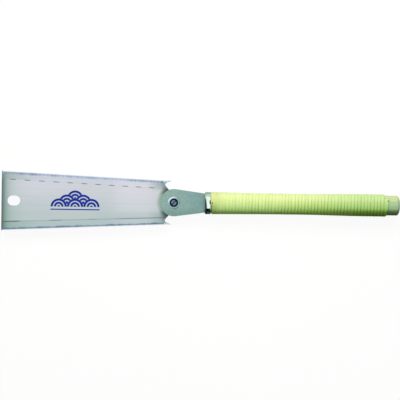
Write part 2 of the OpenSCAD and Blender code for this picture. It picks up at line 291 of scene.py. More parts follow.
class Paint(Nodes):
    """One material on the principled shader, with places in the part's own frame."""

    NOISE_SPAN = (0.3, 0.7)

    def __init__(self, name, **shader):
        self.material = bpy.data.materials.new(name)
        self.material.use_nodes = True
        super().__init__(self.material.node_tree)
        self.shader = self.tree.nodes["Principled BSDF"]
        self.set(**shader)
        self.place = self.node("TexCoord").outputs["Object"]
        self.x, self.y, self.z = self.node("SeparateXYZ", {"Vector": self.place}).outputs

    def set(self, **sockets):
        """Feeds the shader's sockets, with _ for the spaces in their names."""
        for name, value in sockets.items():
            self.feed(self.shader.inputs[name.replace("_", " ")], value)

    def ramp(self, value, low, high, to_low=0.0, to_high=1.0):
        """value from low to high becomes to_low to to_high, eased, and stays there beyond."""
        inputs = {"Value": value, "From Min": low, "From Max": high, "To Min": to_low, "To Max": to_high}
        return self.node("MapRange", inputs, interpolation_type="SMOOTHSTEP").outputs["Result"]

    def blend(self, share, a, b):
        """a where share is 0, and b where it is 1."""
        return self.ramp(share, 0.0, 1.0, a, b)

    def within(self, distance, half, soft):
        """1 at distances under half, and 0 over it, with an edge that is soft to either side."""
        return self.ramp(distance, half + soft, half - soft)

    def vary(self, chance, low, high):
        """low to high over the usual span of a noise."""
        return self.ramp(chance, *self.NOISE_SPAN, low, high)

    def layer(self, colour, over, value, start, full, most=1.0):
        """colour with another one over it, by none where value is start and by most where it is full."""
        return self.mix(self.ramp(value, start, full, 0.0, most), colour, over)

    def shade(self, colour, factor):
        """colour made lighter or darker by factor."""
        inputs = {0: colour, 1: self.vector(factor, factor, factor)}
        return self.node("VectorMath", inputs, operation="MULTIPLY").outputs[0]

    def vector(self, x, y, z):
        return self.node("CombineXYZ", {"X": x, "Y": y, "Z": z}).outputs[0]

    def stretch(self, x, y, z):
        """The place with each of its axes scaled."""
        return self.node("VectorMath", {0: self.place, 1: (x, y, z)}, operation="MULTIPLY").outputs[0]

    def noise(self, vector, scale=1.0, detail=3.0, roughness=0.5):
        inputs = {"Vector": vector, "Scale": scale, "Detail": detail, "Roughness": roughness}
        return self.node("TexNoise", inputs).outputs["Fac"]

    def bump(self, height, distance, strength):
        made = self.node("Bump", {"Height": height, "Distance": distance, "Strength": strength})
        return made.outputs["Normal"]

    def distance_from(self, x, y):
        """Distance in the blade's plane from a line along Z."""
        return self.hypot(self.minus(self.x, x), self.minus(self.y, y))


class BladePaint(Paint):
    """The blade's material, with places along it from the toe and inwards from its toothed edges."""

    def __init__(self):
        super().__init__("blade_steel", Specular_IOR_Level=0.1)
        self.along = self.minus(self.x, TOE_X)
        self.out = self.math("ABSOLUTE", self.y)
        half = self.minus(TOE_HALF, self.times(self.along, EDGE_SLOPE))
        self.inset = self.minus(half, self.out)
        self.rip_side = self.ramp(self.y, -2 * MM, 2 * MM)
        self.in_band = self.within(self.inset, 11.5 * MM, 1 * MM)

    def by_side(self, cross, rip):
        """cross on the side of the crosscut teeth, and rip on the side of the rip teeth."""
        return self.blend(self.rip_side, cross, rip)

    def dashes(self, first, period, length, soft, gather):
        """1 on the dashes of a broken line along the blade.

        first is the middle of the first dash, and period is the spacing there. The dashes are length long,
        their ends fade over soft to either side, and gather draws later ones closer together.
        """
        step = self.over(self.minus(self.along, first), period)
        step = self.times(step, self.plus(self.times(step, gather), 1.0))
        part = self.math("FRACT", self.plus(step, 0.5))
        off = self.times(self.apart(part, 0.5), period)
        return self.within(off, length / 2, soft)


# The blade's material
def ground_plate_and_reflection(p):
    """Ground steel, with a cooler band along each edge, and painted reflection that makes it lighter towards
    its rip edge and paler over the half by the heel.
    """
    clouds = p.noise(p.place, 14.0, 2.0)
    # Painted reflection: lighter and cooler towards the rip edge
    plate = p.layer(srgb(183, 199, 200), srgb(211, 214, 224), p.y, -30 * MM, 30 * MM)
    plate = p.layer(plate, srgb(204, 208, 206), clouds, 0.35, 0.7, 0.35)
    band = p.mix(p.rip_side, srgb(178, 196, 199), srgb(206, 211, 222))
    plate = p.mix(p.times(p.in_band, 0.8), plate, band)
    # Painted reflection: paler over the half by the heel, most on the upper side and in the bands
    reach = p.greater(p.ramp(p.y, -19 * MM, -10 * MM, 0.3, 1.0), p.times(p.in_band, 0.5))
    pale = p.times(p.ramp(p.along, 150 * MM, 185 * MM, 0.0, 0.3), reach)
    return p.mix(pale, plate, srgb(238, 232, 240))


def shaded_heel(p, plate):
    """Painted shade on the heel, round the holder's nose and in the corners beside it."""
    outer = p.minus(p.out, p.times(p.rip_side, 6 * MM))
    reach = p.ramp(outer, 8 * MM, 20 * MM, 0.2, p.by_side(0.7, 0.95))
    # Painted shade over the end of the heel, most towards its edges
    plate = p.mix(p.times(p.ramp(p.along, 208 * MM, 244 * MM), reach), plate, srgb(141, 166, 161))

    from_screw = p.distance_from(SCREW.x, SCREW.y)
    # Painted shade round the holder's nose, darker further out from the middle line
    nose = p.times(
        p.ramp(from_screw, 27.5 * MM, 20.5 * MM, 0.0, 0.85),
        p.ramp(from_screw, 13 * MM, 19 * MM, 0.3, 1.0))
    shade = p.layer(srgb(150, 172, 160), srgb(74, 98, 98), p.out, 9 * MM, 16 * MM)
    plate = p.mix(nose, plate, shade)

    # Painted shadow in the corners beside the holder's nose
    corner_x = SCREW.x - 8.5 * MM
    corner_y = 20 * MM
    for side, wide, most in ((-1, 15 * MM, 0.75), (1, 13 * MM, 0.55)):
        from_corner = p.distance_from(corner_x, side * corner_y)
        plate = p.layer(plate, srgb(58, 76, 78), from_corner, wide, 2 * MM, most)
    return plate


def shaded_toe(p, plate):
    """Painted shade on the toe: dark at its end, and greener a little further in, which runs further along
    the bands.
    """
    # Painted shade: greener near the toe
    toe_shade = p.over(p.along, p.blend(p.in_band, 22 * MM, 36 * MM))
    toe_shade = p.math("EXPONENT", p.times(toe_shade, toe_shade, -1.0))
    toe_shade = p.times(toe_shade, p.blend(p.in_band, 0.4, 0.58))
    plate = p.mix(toe_shade, plate, srgb(130, 170, 150))
    # Painted shade: dark at the toe's end
    fall = p.math("POWER", p.greater(p.over(p.along, 6.3 * MM), 0.0), 1.5)
    most = p.blend(p.times(p.in_band, p.rip_side), 0.9, 0.68)
    toe = p.times(p.math("EXPONENT", p.times(fall, -1.0)), most)
    return p.mix(toe, plate, srgb(66, 101, 95))


def scored_lines(p, plate):
    """A scored line inside each edge: short even dashes on the rip side, long fading ones on the other."""
    upper = p.dashes(first=16.2 * MM, period=21.6 * MM, length=8.5 * MM, soft=1.5 * MM, gather=0.0062)
    upper = p.times(upper, p.ramp(p.along, 230 * MM, 224 * MM))
    upper_inset = 12 * MM
    upper_half = 0.8 * MM

    lower = p.dashes(first=15 * MM, period=76 * MM, length=24 * MM, soft=7 * MM, gather=0.18)
    lower = p.times(lower, p.ramp(p.along, 30 * MM, 140 * MM, 1.0, 0.4))
    lower = p.greater(lower, p.ramp(p.along, 155 * MM, 180 * MM, 0.0, 0.6))
    lower_inset = p.minus(12.6 * MM, p.times(p.along, 0.0095))
    lower_half = p.ramp(p.along, 20 * MM, 60 * MM, 1.4 * MM, 0.9 * MM)

    marked = p.plus(lower, p.times(p.rip_side, p.minus(upper, lower)))
    off = p.apart(p.inset, p.by_side(lower_inset, upper_inset))
    line = p.ramp(off, p.by_side(lower_half, upper_half), 0.25 * MM)
    line = p.times(line, p.blend(marked, p.by_side(0.32, 0.08), 0.9))
    return p.mix(line, plate, srgb(88, 98, 92))


def blued_teeth_and_set_shade(p, plate):
    """Teeth blued in uneven patches, pale on the horns, with painted light and shade that make each second
    one darker for its set.
    """
    temper = p.noise(p.stretch(120, 12, 1))
    blued = p.mix(p.rip_side, srgb(112, 142, 172), srgb(150, 168, 198))
    blued = p.layer(blued, srgb(96, 120, 146), temper, 0.54, 0.4, 0.85)
    middle = p.times(p.ramp(p.along, 30 * MM, 75 * MM), p.ramp(p.along, 220 * MM, 185 * MM))
    blued = p.mix(p.times(middle, p.by_side(0.0, 0.45)), blued, srgb(190, 212, 242))
    heel = p.times(p.ramp(p.along, 185 * MM, 215 * MM), p.by_side(0.5, 0.0))
    blued = p.mix(heel, blued, srgb(84, 112, 148))
    blued = p.layer(blued, srgb(196, 218, 236), p.along, EDGE_L - 14 * MM, EDGE_L - 8 * MM)
    # Painted light and shade: each second one darker and the others lighter, as the set leans them
    set_shade = p.math("PINGPONG", p.over(p.along, p.by_side(CROSS_PITCH, RIP_PITCH)), 1.0)
    blued = p.shade(blued, p.ramp(set_shade, 0.25, 0.75, 0.78, 1.12))
    depth = p.plus(p.inset, p.times(p.minus(temper, 0.5), 3 * MM))
    fringe = p.ramp(depth, p.by_side(4.2 * MM, 6 * MM), 1.8 * MM, 0.0, 0.9)
    return p.mix(fringe, plate, blued)


def wave_print(p):
    """Share of ink on the front: rows of ringed waves, each row behind the one below, over a plain rule."""
    rows = 3
    radius = 12 * MM
    middle = TOE_X + 108 * MM
    base = -8 * MM
    # Middle and half width of each ring, as shares of a wave's radius
    bands = ((0.86, 0.14), (0.46, 0.13), (0.0, 0.18))
    band_soft = 0.04
    rule_y = base - 4 * MM
    rule_half = 0.8 * MM
    soft = 0.2 * MM
    ink = 0.0
    for row in reversed(range(rows)):
        for i in range(rows - row):
            centre = middle + (2 * i - (rows - 1 - row)) * radius
            share = p.over(p.distance_from(centre, base + row * radius / 2), radius)
            rings = 0.0
            for at, half in bands:
                rings = p.greater(rings, p.within(p.apart(share, at), half, band_soft))
            inside = p.within(share, 1, band_soft)
            ink = p.plus(ink, p.times(inside, p.minus(rings, ink)))
    ink = p.times(ink, p.ramp(p.y, base - soft, base + soft))
    rule = p.times(
        p.within(p.apart(p.y, rule_y), rule_half, soft),
        p.within(p.apart(p.x, middle), rows * radius, soft))
    return p.times(p.greater(ink, rule), p.above(p.z, AXIS_Z))


def blade_steel():
    """Satin plate: ground streaks, painted reflection along it, painted shade at its ends, scored lines,
    blued teeth and a printed mark.
    """
    p = BladePaint()
    plate = ground_plate_and_reflection(p)
    for finish in (shaded_heel, shaded_toe, scored_lines, blued_teeth_and_set_shade):
        plate = finish(p, plate)
    streaks = p.noise(p.stretch(6, 900, 1), detail=5.0, roughness=0.6)
    plate = p.shade(plate, p.ramp(streaks, 0.25, 0.75, 0.94, 1.05))
    ink = wave_print(p)
    p.set(
        Base_Color=p.mix(ink, plate, srgb(12, 42, 150)),
        Metallic=p.minus(1.0, ink),
        Roughness=p.ramp(streaks, 0.2, 0.8, 0.3, 0.44),
        Normal=p.bump(streaks, 0.02 * MM, 0.4))
    return p.material


# Materials of the holder and its clamp
def holder_steel():
    """Matt grey-green plating with a faint mottle, and painted shade that makes it darker towards the handle
    and on its lower side.
    """
    p = Paint("holder_steel", Metallic=1.0)
    mottle = p.noise(p.place, 260.0, 4.0, 0.6)
    clouds = p.noise(p.place, 30.0, 2.0)
    # Painted shade: darker towards the handle and on the lower side
    colour = p.layer(srgb(148, 180, 172), srgb(135, 170, 168), p.x, SCREW.x, MOUTH_X)
    colour = p.layer(colour, srgb(120, 154, 146), p.y, -4 * MM, -18 * MM, 0.7)
    colour = p.layer(colour, srgb(136, 168, 161), clouds, 0.35, 0.7, 0.35)
    p.set(
        Base_Color=p.shade(colour, p.vary(mottle, 0.91, 1.07)),
        Roughness=p.vary(mottle, 0.44, 0.48),
        Normal=p.bump(mottle, 0.012 * MM, 0.5))
    return p.material


def washer_steel():
    """Zinc plate with fine rings about the screw's axis, with a painted highlight on one side and painted
    shadow round the head.
    """
    p = Paint("washer_steel", Metallic=1.0)
    radius = p.distance_from(SCREW.x, SCREW.y)
    rings = p.noise(p.vector(p.times(radius, 6000), 0.0, 0.0), detail=2.0)
    smudge = p.noise(p.place, 180.0)
    # Painted highlight: brighter on the side this way round the screw
    highlight_way = math.radians(125)
    highlight_lean = p.plus(
        p.times(p.minus(p.x, SCREW.x), math.cos(highlight_way)),
        p.times(p.minus(p.y, SCREW.y), math.sin(highlight_way)))
    colour = p.layer(srgb(146, 175, 177), srgb(222, 236, 242), highlight_lean, 1 * MM, 8 * MM)
    # Painted shadow round the screw's head
    head_shadow = p.ramp(radius, HEAD_R + 0.8 * MM, HEAD_R + 0.2 * MM, 0.0, 0.9)
    colour = p.mix(p.times(head_shadow, p.above(p.z, CHEEK_TOP)), colour, srgb(24, 46, 54))
    p.set(
        Base_Color=p.shade(colour, p.vary(rings, 0.95, 1.04)),
        Roughness=p.vary(smudge, 0.22, 0.36),
        Normal=p.bump(rings, 0.01 * MM, 0.5))
    return p.material


def screw_steel():
    """Dark steel, with a paler blue-grey flat on its head that is painted reflection."""
    p = Paint("screw_steel", Metallic=1.0)
    radius = p.distance_from(SCREW.x, SCREW.y)
    scuff = p.noise(p.place, 900.0, 4.0, 0.65)
    # Painted reflection: paler blue-grey on the flat of the head
    top = p.ramp(p.z, SCREW_HIGH.z - 0.35 * MM, SCREW_HIGH.z - 0.05 * MM)
    middle = p.ramp(p.plus(radius, p.times(scuff, 0.8 * MM)), 4.4 * MM, 3.8 * MM)
    colour = p.mix(p.times(top, middle), srgb(16, 31, 46), srgb(112, 136, 160))
    p.set(
        Base_Color=p.shade(colour, p.vary(scuff, 0.85, 1.15)),
        Roughness=p.vary(scuff, 0.28, 0.45),
        Normal=p.bump(scuff, 0.02 * MM, 0.4))
    return p.material


# Materials of the handle
def ferrule_chrome():
    """Polished chrome with faint drawing marks, painted reflection that darkens its rims at the mouth and by
    the winding, and a dark spot by the winding.
    """
    p = Paint("ferrule_chrome", Metallic=1.0)
    marks = p.noise(p.stretch(2500, 40, 40))
    haze = p.noise(p.place, 220.0)
    chrome = p.layer(srgb(236, 250, 245), srgb(216, 232, 226), haze, 0.4, 0.75, 0.4)
    # Painted reflection: a dark band at the mouth, wider lower down
    mouth_reflection_w = p.ramp(p.y, 9 * MM, -9 * MM, 1.95 * MM, 3.45 * MM)
    mouth_reflection = p.ramp(p.over(p.minus(p.x, MOUTH_X), mouth_reflection_w), 1.2, 0.6)
    mouth_reflection = p.times(mouth_reflection, p.ramp(p.y, 10 * MM, 3 * MM, 0.25, 0.97))
    chrome = p.mix(mouth_reflection, chrome, srgb(24, 40, 40))
    # Painted reflection: a darker rim by the winding, stronger lower down
    from_end = p.minus(FERRULE_END, p.x)
    end_reflection = p.ramp(from_end, 1.8 * MM, 0.5 * MM, 0.0, 0.55)
    chrome = p.mix(p.times(end_reflection, p.ramp(p.y, 6 * MM, 0.0, 0.2, 1.0)), chrome, srgb(124, 142, 108))
    # A dark spot by the winding, about the middle of its height
    spot = p.ramp(from_end, 2.9 * MM, 0.9 * MM, 0.0, 0.9)
    spot = p.times(spot, p.within(p.apart(p.y, 1.5 * MM), 2.6 * MM, 1 * MM))
    p.set(
        Base_Color=p.mix(spot, chrome, srgb(66, 82, 50)),
        Roughness=p.vary(haze, 0.06, 0.13),
        Normal=p.bump(marks, 0.004 * MM, 0.4))
    return p.material


def handle_wood():
    """Pale oiled softwood: straight grain along the handle and rings on its end, with painted light that
    makes its top yellower and painted shade that darkens its lower side.
    """
    p = Paint("handle_wood", Roughness=0.55, Specular_IOR_Level=0.2)
    pith_depth = 60 * MM
    rings_per_metre = 420
    warp = p.noise(p.stretch(8, 30, 30), detail=2.0)
    from_pith = p.hypot(p.y, p.plus(p.z, pith_depth))
    grain = p.math("FRACT", p.plus(p.times(from_pith, rings_per_metre), p.times(warp, 3.0)))
    fibre = p.noise(p.stretch(40, 1500, 1500), detail=4.0, roughness=0.6)
    colour = p.layer(srgb(172, 199, 160), srgb(141, 166, 127), grain, 0.45, 0.95)
    # Painted light: yellower on the top
    colour = p.layer(colour, srgb(186, 199, 142), p.y, 3 * MM, 11 * MM, 0.8)
    # Painted shade: darker and greener on the lower side
    colour = p.layer(colour, srgb(122, 162, 100), p.y, -2 * MM, -14 * MM, 0.8)
    colour = p.layer(colour, srgb(60, 84, 44), p.y, -6 * MM, -10 * MM, 0.5)
    p.set(
        Base_Color=p.shade(colour, p.vary(fibre, 0.88, 1.1)),
        Normal=p.bump(fibre, 0.05 * MM, 0.5))
    return p.material


def rattan():
    """Glossy rattan peel: fibres, flecks and scratches along the strip, and grime and painted shade in its
    grooves.

    Its tone changes slightly from turn to turn and grows darker and greener towards the butt. Painted shade
    makes it slightly darker below its top, and greener and darker on its lower side, most of all towards the
    butt.
    """
    p = Paint("rattan", Specular_IOR_Level=0.15)
    uv = p.node("UVMap", uv_map=STRIP_UV).outputs["UV"]
    run, across = p.node("SeparateXYZ", {"Vector": uv}).outputs[:2]

    def drawn(rate, y, z, detail, roughness=0.5):
        """Noise that is drawn out along the strip."""
        return p.noise(p.vector(p.times(run, rate), y, z), 1.0, detail, roughness)

    tone = drawn(9, 0.0, 0.0, 2.0)
    patch = drawn(5, 7.0, 0.0, 2.0)
    fibre = drawn(40, p.times(across, 26), 0.0, 4.0, 0.65)
    fleck = drawn(160, p.times(across, 9), 3.0, 2.0)
    scratch = drawn(14, p.times(across, 34), 5.0, 3.0)
    edge = p.apart(across, 0.5)

    # Tones along the winding, and painted shade down its side
    first = WRAP_START + 30 * MM
    last = WRAP_END - 20 * MM
    turning = last - 140 * MM
    colour = p.layer(srgb(208, 217, 154), srgb(200, 213, 143), tone, 0.36, 0.64)
    colour = p.layer(colour, srgb(186, 188, 126), p.x, first, WRAP_START, 0.6)
    colour = p.layer(colour, srgb(176, 203, 138), p.x, turning, last, 0.8)
    # Painted shade: a little darker below the top
    colour = p.shade(colour, p.ramp(p.y, 9 * MM, 5 * MM, 1.0, 0.97))
    # Painted shade: greener below the top
    low_shade_tone = p.layer(srgb(192, 234, 148), srgb(174, 226, 115), p.x, first + 40 * MM, first + 110 * MM)
    low = p.times(p.ramp(p.y, 9 * MM, -14 * MM, 0.0, 0.9), p.ramp(p.x, WRAP_START, first, 0.7, 1.0))
    colour = p.mix(low, colour, low_shade_tone)
    # Painted shade: darker and greener low down, most of all towards the butt
    deep_shade = p.times(p.ramp(p.y, -4 * MM, -11 * MM, 0.0, 0.75), p.ramp(p.x, turning, last))
    deep_shade = p.greater(deep_shade, p.ramp(p.y, -9 * MM, -14 * MM, 0.0, 0.5))
    colour = p.mix(deep_shade, colour, srgb(104, 144, 18))
    olive = p.times(p.ramp(p.x, WRAP_START + 14 * MM, WRAP_START, 0.0, 0.5), p.ramp(p.y, 4 * MM, -4 * MM))
    colour = p.mix(olive, colour, srgb(150, 164, 84))
    colour = p.layer(colour, srgb(180, 188, 122), fleck, 0.64, 0.78, 0.3)

    # Painted shade in the grooves and on the strips' edges, with some grime in the grooves, which shows more
    # down the side and towards the butt
    side_shade = p.times(
        p.plus(p.ramp(p.y, 8 * MM, 2 * MM, 0.0, 0.7), p.ramp(p.y, 2 * MM, -10 * MM, 0.0, 0.9)),
        p.ramp(p.x, WRAP_START, last - 60 * MM, 0.5, 1.4),
        p.ramp(patch, 0.35, 0.65, 0.55, 1.1))
    groove_grime_and_shade = p.times(p.ramp(edge, 0.45, 0.5), p.ramp(side_shade, 0.0, 1.6, 0.05, 0.5))
    colour = p.mix(groove_grime_and_shade, colour, srgb(116, 140, 74))
    # Painted shade: the crowned strips darker at their edges
    crown_shade = p.minus(1.03, p.times(side_shade, p.ramp(edge, 0.1, 0.46, 0.0, 0.15)))
    colour = p.shade(colour, crown_shade)
    colour = p.layer(colour, srgb(146, 150, 82), scratch, 0.58, 0.7, 0.3)
    p.set(
        Base_Color=p.shade(colour, p.ramp(fibre, 0.32, 0.68, 0.87, 1.13)),
        Roughness=p.vary(fibre, 0.34, 0.5),
        Normal=p.bump(fibre, 0.08 * MM, 0.6))
    return p.material


def tack_steel():
    """Dark blued steel with scuffs."""
    p = Paint("tack_steel", Metallic=1.0)
    scuff = p.noise(p.place, 1500.0)
    p.set(
        Base_Color=p.layer(srgb(58, 62, 48), srgb(96, 102, 84), scuff, 0.35, 0.7),
        Roughness=p.vary(scuff, 0.3, 0.5))
    return p.material


FINISHES = (
    blade_steel, holder_steel, screw_steel, washer_steel, ferrule_chrome, handle_wood, rattan, tack_steel)
MATERIALS = {finish.__name__: finish() for finish in FINISHES}


# Meshes lofted from rings
def loft(name, rings, loop=False, uv=None):
    """A mesh through rings of equally many points, capped at its ends or closed into a loop."""
    count = len(rings[0])
    faces = []
    pairs = list(zip(range(len(rings)), range(1, len(rings))))
    if loop:
        pairs.append((len(rings) - 1, 0))
    for a, b in pairs:
        for i in range(count):
            j = (i + 1) % count
            faces.append((a * count + i, a * count + j, b * count + j, b * count + i))
    if not loop:
        last = (len(rings) - 1) * count
        faces.append(tuple(range(count - 1, -1, -1)))
        faces.append(tuple(range(last, last + count)))
    mesh = bpy.data.meshes.new(name)
    mesh.from_pydata([point for ring in rings for point in ring], [], faces)
    if uv:
        layer = mesh.uv_layers.new(name=STRIP_UV)
        for corner in mesh.loops:
            ring, point = divmod(corner.vertex_index, count)
            layer.data[corner.index].uv = uv(ring, point)
    return place_new(name, mesh)


def dress(piece, body, slot, nodes, angle=40):
    """Finishes a piece: outward faces, soft shading up to an angle, its material, its body and its nodes."""
    bpy.ops.object.select_all(action="DESELECT")
    piece.select_set(True)
    bpy.context.view_layer.objects.active = piece
    bpy.ops.object.mode_set(mode="EDIT")
    bpy.ops.mesh.select_all(action="SELECT")
    bpy.ops.mesh.normals_make_consistent(inside=False)
    bpy.ops.object.mode_set(mode="OBJECT")
    piece.data.shade_smooth()
    bpy.ops.object.shade_smooth_by_angle(angle=math.radians(angle))
    piece.data.materials.clear()
    piece.data.materials.append(MATERIALS[slot])
    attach(piece, body)
    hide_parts(*nodes)


def carve(piece, *cutters):
    """Cuts solids out of a piece, and deletes them."""
    for cutter in cutters:
        cut = piece.modifiers.new("cut", "BOOLEAN")
        cut.object = cutter
        cut.operation = "DIFFERENCE"
        cut.solver = "EXACT"
        bpy.context.view_layer.objects.active = piece
        bpy.ops.object.modifier_apply(modifier=cut.name)
        bpy.data.objects.remove(cutter)
    return piece


def turns(sides):
    """Equally spaced angles round a circle."""
    return [math.tau * i / sides for i in range(sides)]


def core_half(x):
    """Half width of the wooden core at a place along the saw."""
    waist_x = MOUTH_X + WAIST_L
    if x < waist_x:
        return WAIST_HALF + (MOUTH_HALF - WAIST_HALF) * ((waist_x - x) / WAIST_L) ** 2
    return WAIST_HALF + (BUTT_HALF - WAIST_HALF) * smooth((x - waist_x) / SWELL_L)


def oval_point(x, wide, thick, angle):
    """A point at an angle round an oval about the saw's axis."""
    return (x, wide * math.cos(angle), AXIS_Z + thick * math.sin(angle))


def make_ferrule():
    """Barrel-shaped oval ring, lofted round its own section."""
    sides = 128
    steps = 12
    bore = MOUTH_HALF + 2 * SEAT
    section = [(MOUTH_X, 0.0)]
    for middle, way in ((MOUTH_X + FERRULE_EASE, -1), (FERRULE_END - FERRULE_EASE, 1)):
        for i in range(steps + 1):
            a = math.pi / 2 * (i if way > 0 else steps - i) / steps
            drop = FERRULE_DROP * (1 - math.cos(a))
            section.append((middle + way * FERRULE_EASE * math.sin(a), FERRULE_T - drop))
    section.append((FERRULE_END, 0.0))
    rings = [
        [oval_point(x, bore + wall, OVAL * bore + wall, a) for a in turns(sides)]
        for x, wall in section]
    dress(loft("ferrule_ring", rings, loop=True), "handle", "ferrule_chrome", ["ferrule"])


def butt_places():
    """Places along the handle's rounded end, with the core's half width at each."""
    steps = 14
    centre = BUTT_X + BUTT_SPARE - BUTT_ROUND
    last = math.asin((BUTT_X - centre) / BUTT_ROUND)
    angles = [last * i / steps for i in range(steps + 1)]
    return [
        (centre + BUTT_ROUND * math.sin(a), BUTT_FLAT_HALF + (BUTT_HALF - BUTT_FLAT_HALF) * math.cos(a))
        for a in angles]


def make_core(name, node, side):
    """Half of the wooden core, split along the saw, with its share of the pocket and the pins' holes."""
    steps = 48
    arc = 48
    butt = butt_places()
    straight = butt[0][0] - MOUTH_X
    along = [MOUTH_X + straight * i / steps for i in range(steps)]
    rings = []
    for x, half in [(x, core_half(x)) for x in along] + butt:
        ring = []
        for i in range(arc + 1):
            a = math.pi * i / arc
            ring.append((x, half * math.cos(a), AXIS_Z + side * max(SEAM, OVAL * half * math.sin(a))))
        rings.append(ring)
    dress(carve(loft(name, rings), *core_cutters()), "handle", "handle_wood", [node])


def core_cutters():
    """Solids of the tang's pocket, which runs out past the mouth, and of the pins' holes."""
    sides = 32
    run_out = 1 * MM
    wide = TANG_HALF + SEAT
    thick = CHEEK_TOP - AXIS_Z + SEAT
    corners = ((-wide, -thick), (wide, -thick), (wide, thick), (-wide, thick))
    ends = (MOUTH_X - run_out, MOUTH_X + TANG_L + SEAT)
    cutters = [loft("pocket", [[(x, y, AXIS_Z + z) for y, z in corners] for x in ends])]
    hole_r = PIN_R + SEAT
    for x in (PINS_LOW.x + PIN_R, PINS_HIGH.x - PIN_R):
        rings = [
            [(x + hole_r * math.cos(a), hole_r * math.sin(a), z) for a in turns(sides)]
            for z in (PINS_LOW.z - SEAT, PINS_HIGH.z + SEAT)]
        cutters.append(loft("pin_hole", rings))
    return cutters


def drift(turn, rate, row):
    """Smooth noise along the strip, from about -1 to 1. Each row is another run of it."""
    return noise.noise((turn * rate, row, 0.0))


def strip_edge(turn):
    """Place along the saw of the strip's near edge after so many turns. The next turn's is its far edge."""
    slow = 0.22 * MM * drift(turn, 2.3, 4.0)
    quick = 0.12 * MM * drift(turn, 7.1, 9.0)
    return WRAP_START + (turn - STRIP_CUT) * STRIP_PITCH + (slow + quick)


def groove(turn):
    """How open the groove before a turn is: nearly shut at the ferrule, then uneven."""
    shut = 0.05
    shut_turns = 0.6
    opening_turns = 14
    least = 0.12
    usual = 0.6
    uneven = 0.8
    opened = smooth((turn - shut_turns) / opening_turns)
    return shut + opened * max(least, usual + uneven * drift(turn, 0.9, 30.0))


def strip_ring(turn, section):
    """The strip's section after so many turns: flat below, crowned above, and lower by open grooves."""
    crown_drop = 0.12
    groove_drop = 0.24
    groove_gap = 0.02
    angle = STRIP_START_ANGLE - math.tau * turn
    tail = TAIL_RUN * smooth(1 - (STRIP_TURNS - turn) / TAIL_TURNS)
    near = strip_edge(turn)
    far = strip_edge(turn + 1) + tail
    lift = 0.95 + 0.05 * drift(turn, 1.7, 20.0)
    ring = []
    for k, across in enumerate(section):
        opened = groove(turn) * (1 - across) + groove(turn + 1) * across
        lobe = abs(2 * across - 1)
        height = lift * (1 - crown_drop * lobe ** 2 - groove_drop * opened * lobe ** 10)
        if k in (0, len(section) - 1):
            height = 0.0
        gap = groove_gap * opened
        share = gap + (1 - 2 * gap) * across
        x = min(WRAP_END, max(WRAP_START, near + share * (far - near)))
        half = core_half(x) + STRIP_PLAY
        ring.append(oval_point(x, half + STRIP_T * height, OVAL * half + STRIP_T * height, angle))
    return ring


def make_rattan():
    """One strip wound round the handle, with a crowned section of uneven width, height and grooves."""
    turn_steps = 72
    crown_steps = 12
    shares = [0.5 - 0.5 * math.cos(math.pi * k / crown_steps) for k in range(crown_steps + 1)]
    section = [0.0] + shares + [1.0]
    rings = [strip_ring(i / turn_steps, section) for i in range(round(STRIP_TURNS * turn_steps) + 1)]
    mean_r = (1 + OVAL) / 2 * (WAIST_HALF + STRIP_T)
    lap = math.tau * mean_r
    piece = loft("rattan_strip", rings, uv=lambda ring, point: (ring / turn_steps * lap, section[point]))
    dress(piece, "handle", "rattan", ["rattan_wrap"], angle=70)


def tack_rings(x, angle):
    """Rings of a domed tack that stands square on the strip, from the tip of its shank to its head."""
    sides = 24
    dome_steps = 7
    tip_r = 0.05 * TACK_R
    shank_r = 0.5 * TACK_R
    under_r = 0.92 * TACK_R
    taper_h = -0.75 * TACK_L
    rim = 0.2
    half = core_half(x) + STRIP_PLAY
    wide = half + STRIP_T
    thick = OVAL * half + STRIP_T
    foot = Vector(oval_point(x, wide, thick, angle))
    out = Vector((0, math.cos(angle) / wide, math.sin(angle) / thick)).normalized()
    along = Vector((1, 0, 0))
    around = out.cross(along)
    profile = [(tip_r, -TACK_L), (shank_r, taper_h), (shank_r, 0), (under_r, 0)]
    for i in range(dome_steps):
        a = math.pi / 2 * i / dome_steps
        profile.append((TACK_R * math.cos(a), TACK_H * (rim + (1 - rim) * math.sin(a))))
    profile.append((tip_r, TACK_H))
    return [
        [foot + h * out + r * (math.cos(a) * along + math.sin(a) * around) for a in turns(sides)]
        for r, h in profile]


def make_tacks():
    """The two tacks at the strip's ends, as one piece."""
    start = loft("wrap_tack_pair", tack_rings(TACKS_LOW.x + TACK_R, STRIP_START_ANGLE - TACK_SETBACK))
    end = loft("end_tack", tack_rings(TACKS_HIGH.x - TACK_R, STRIP_END_ANGLE + TACK_SETBACK))
    bpy.ops.object.select_all(action="DESELECT")
    start.select_set(True)
    end.select_set(True)
    bpy.context.view_layer.objects.active = start
    bpy.ops.object.join()
    dress(start, "handle", "tack_steel", ["wrap_tacks"])


def round_ring(radius, z, sides):
    """A level ring about the screw's axis. Its radius is a number, or a function of the angle."""
    ring = []
    for a in turns(sides):
        r = radius(a) if callable(radius) else radius
        ring.append((SCREW.x + r * math.cos(a), SCREW.y + r * math.sin(a), z))
    return ring


def thread_ring(z, sides):
    """A level ring of the screw's thread, which fades out at the screw's tip."""
    fade = min(1, (z - SCREW_LOW.z) / THREAD_LEAD_IN)

    def radius(angle):
        phase = (z / THREAD_PITCH - angle / math.tau) % 1
        return THREAD_R - THREAD_DEPTH * (1 - (1 - abs(2 * phase - 1)) * fade)

    return round_ring(radius, z, sides)


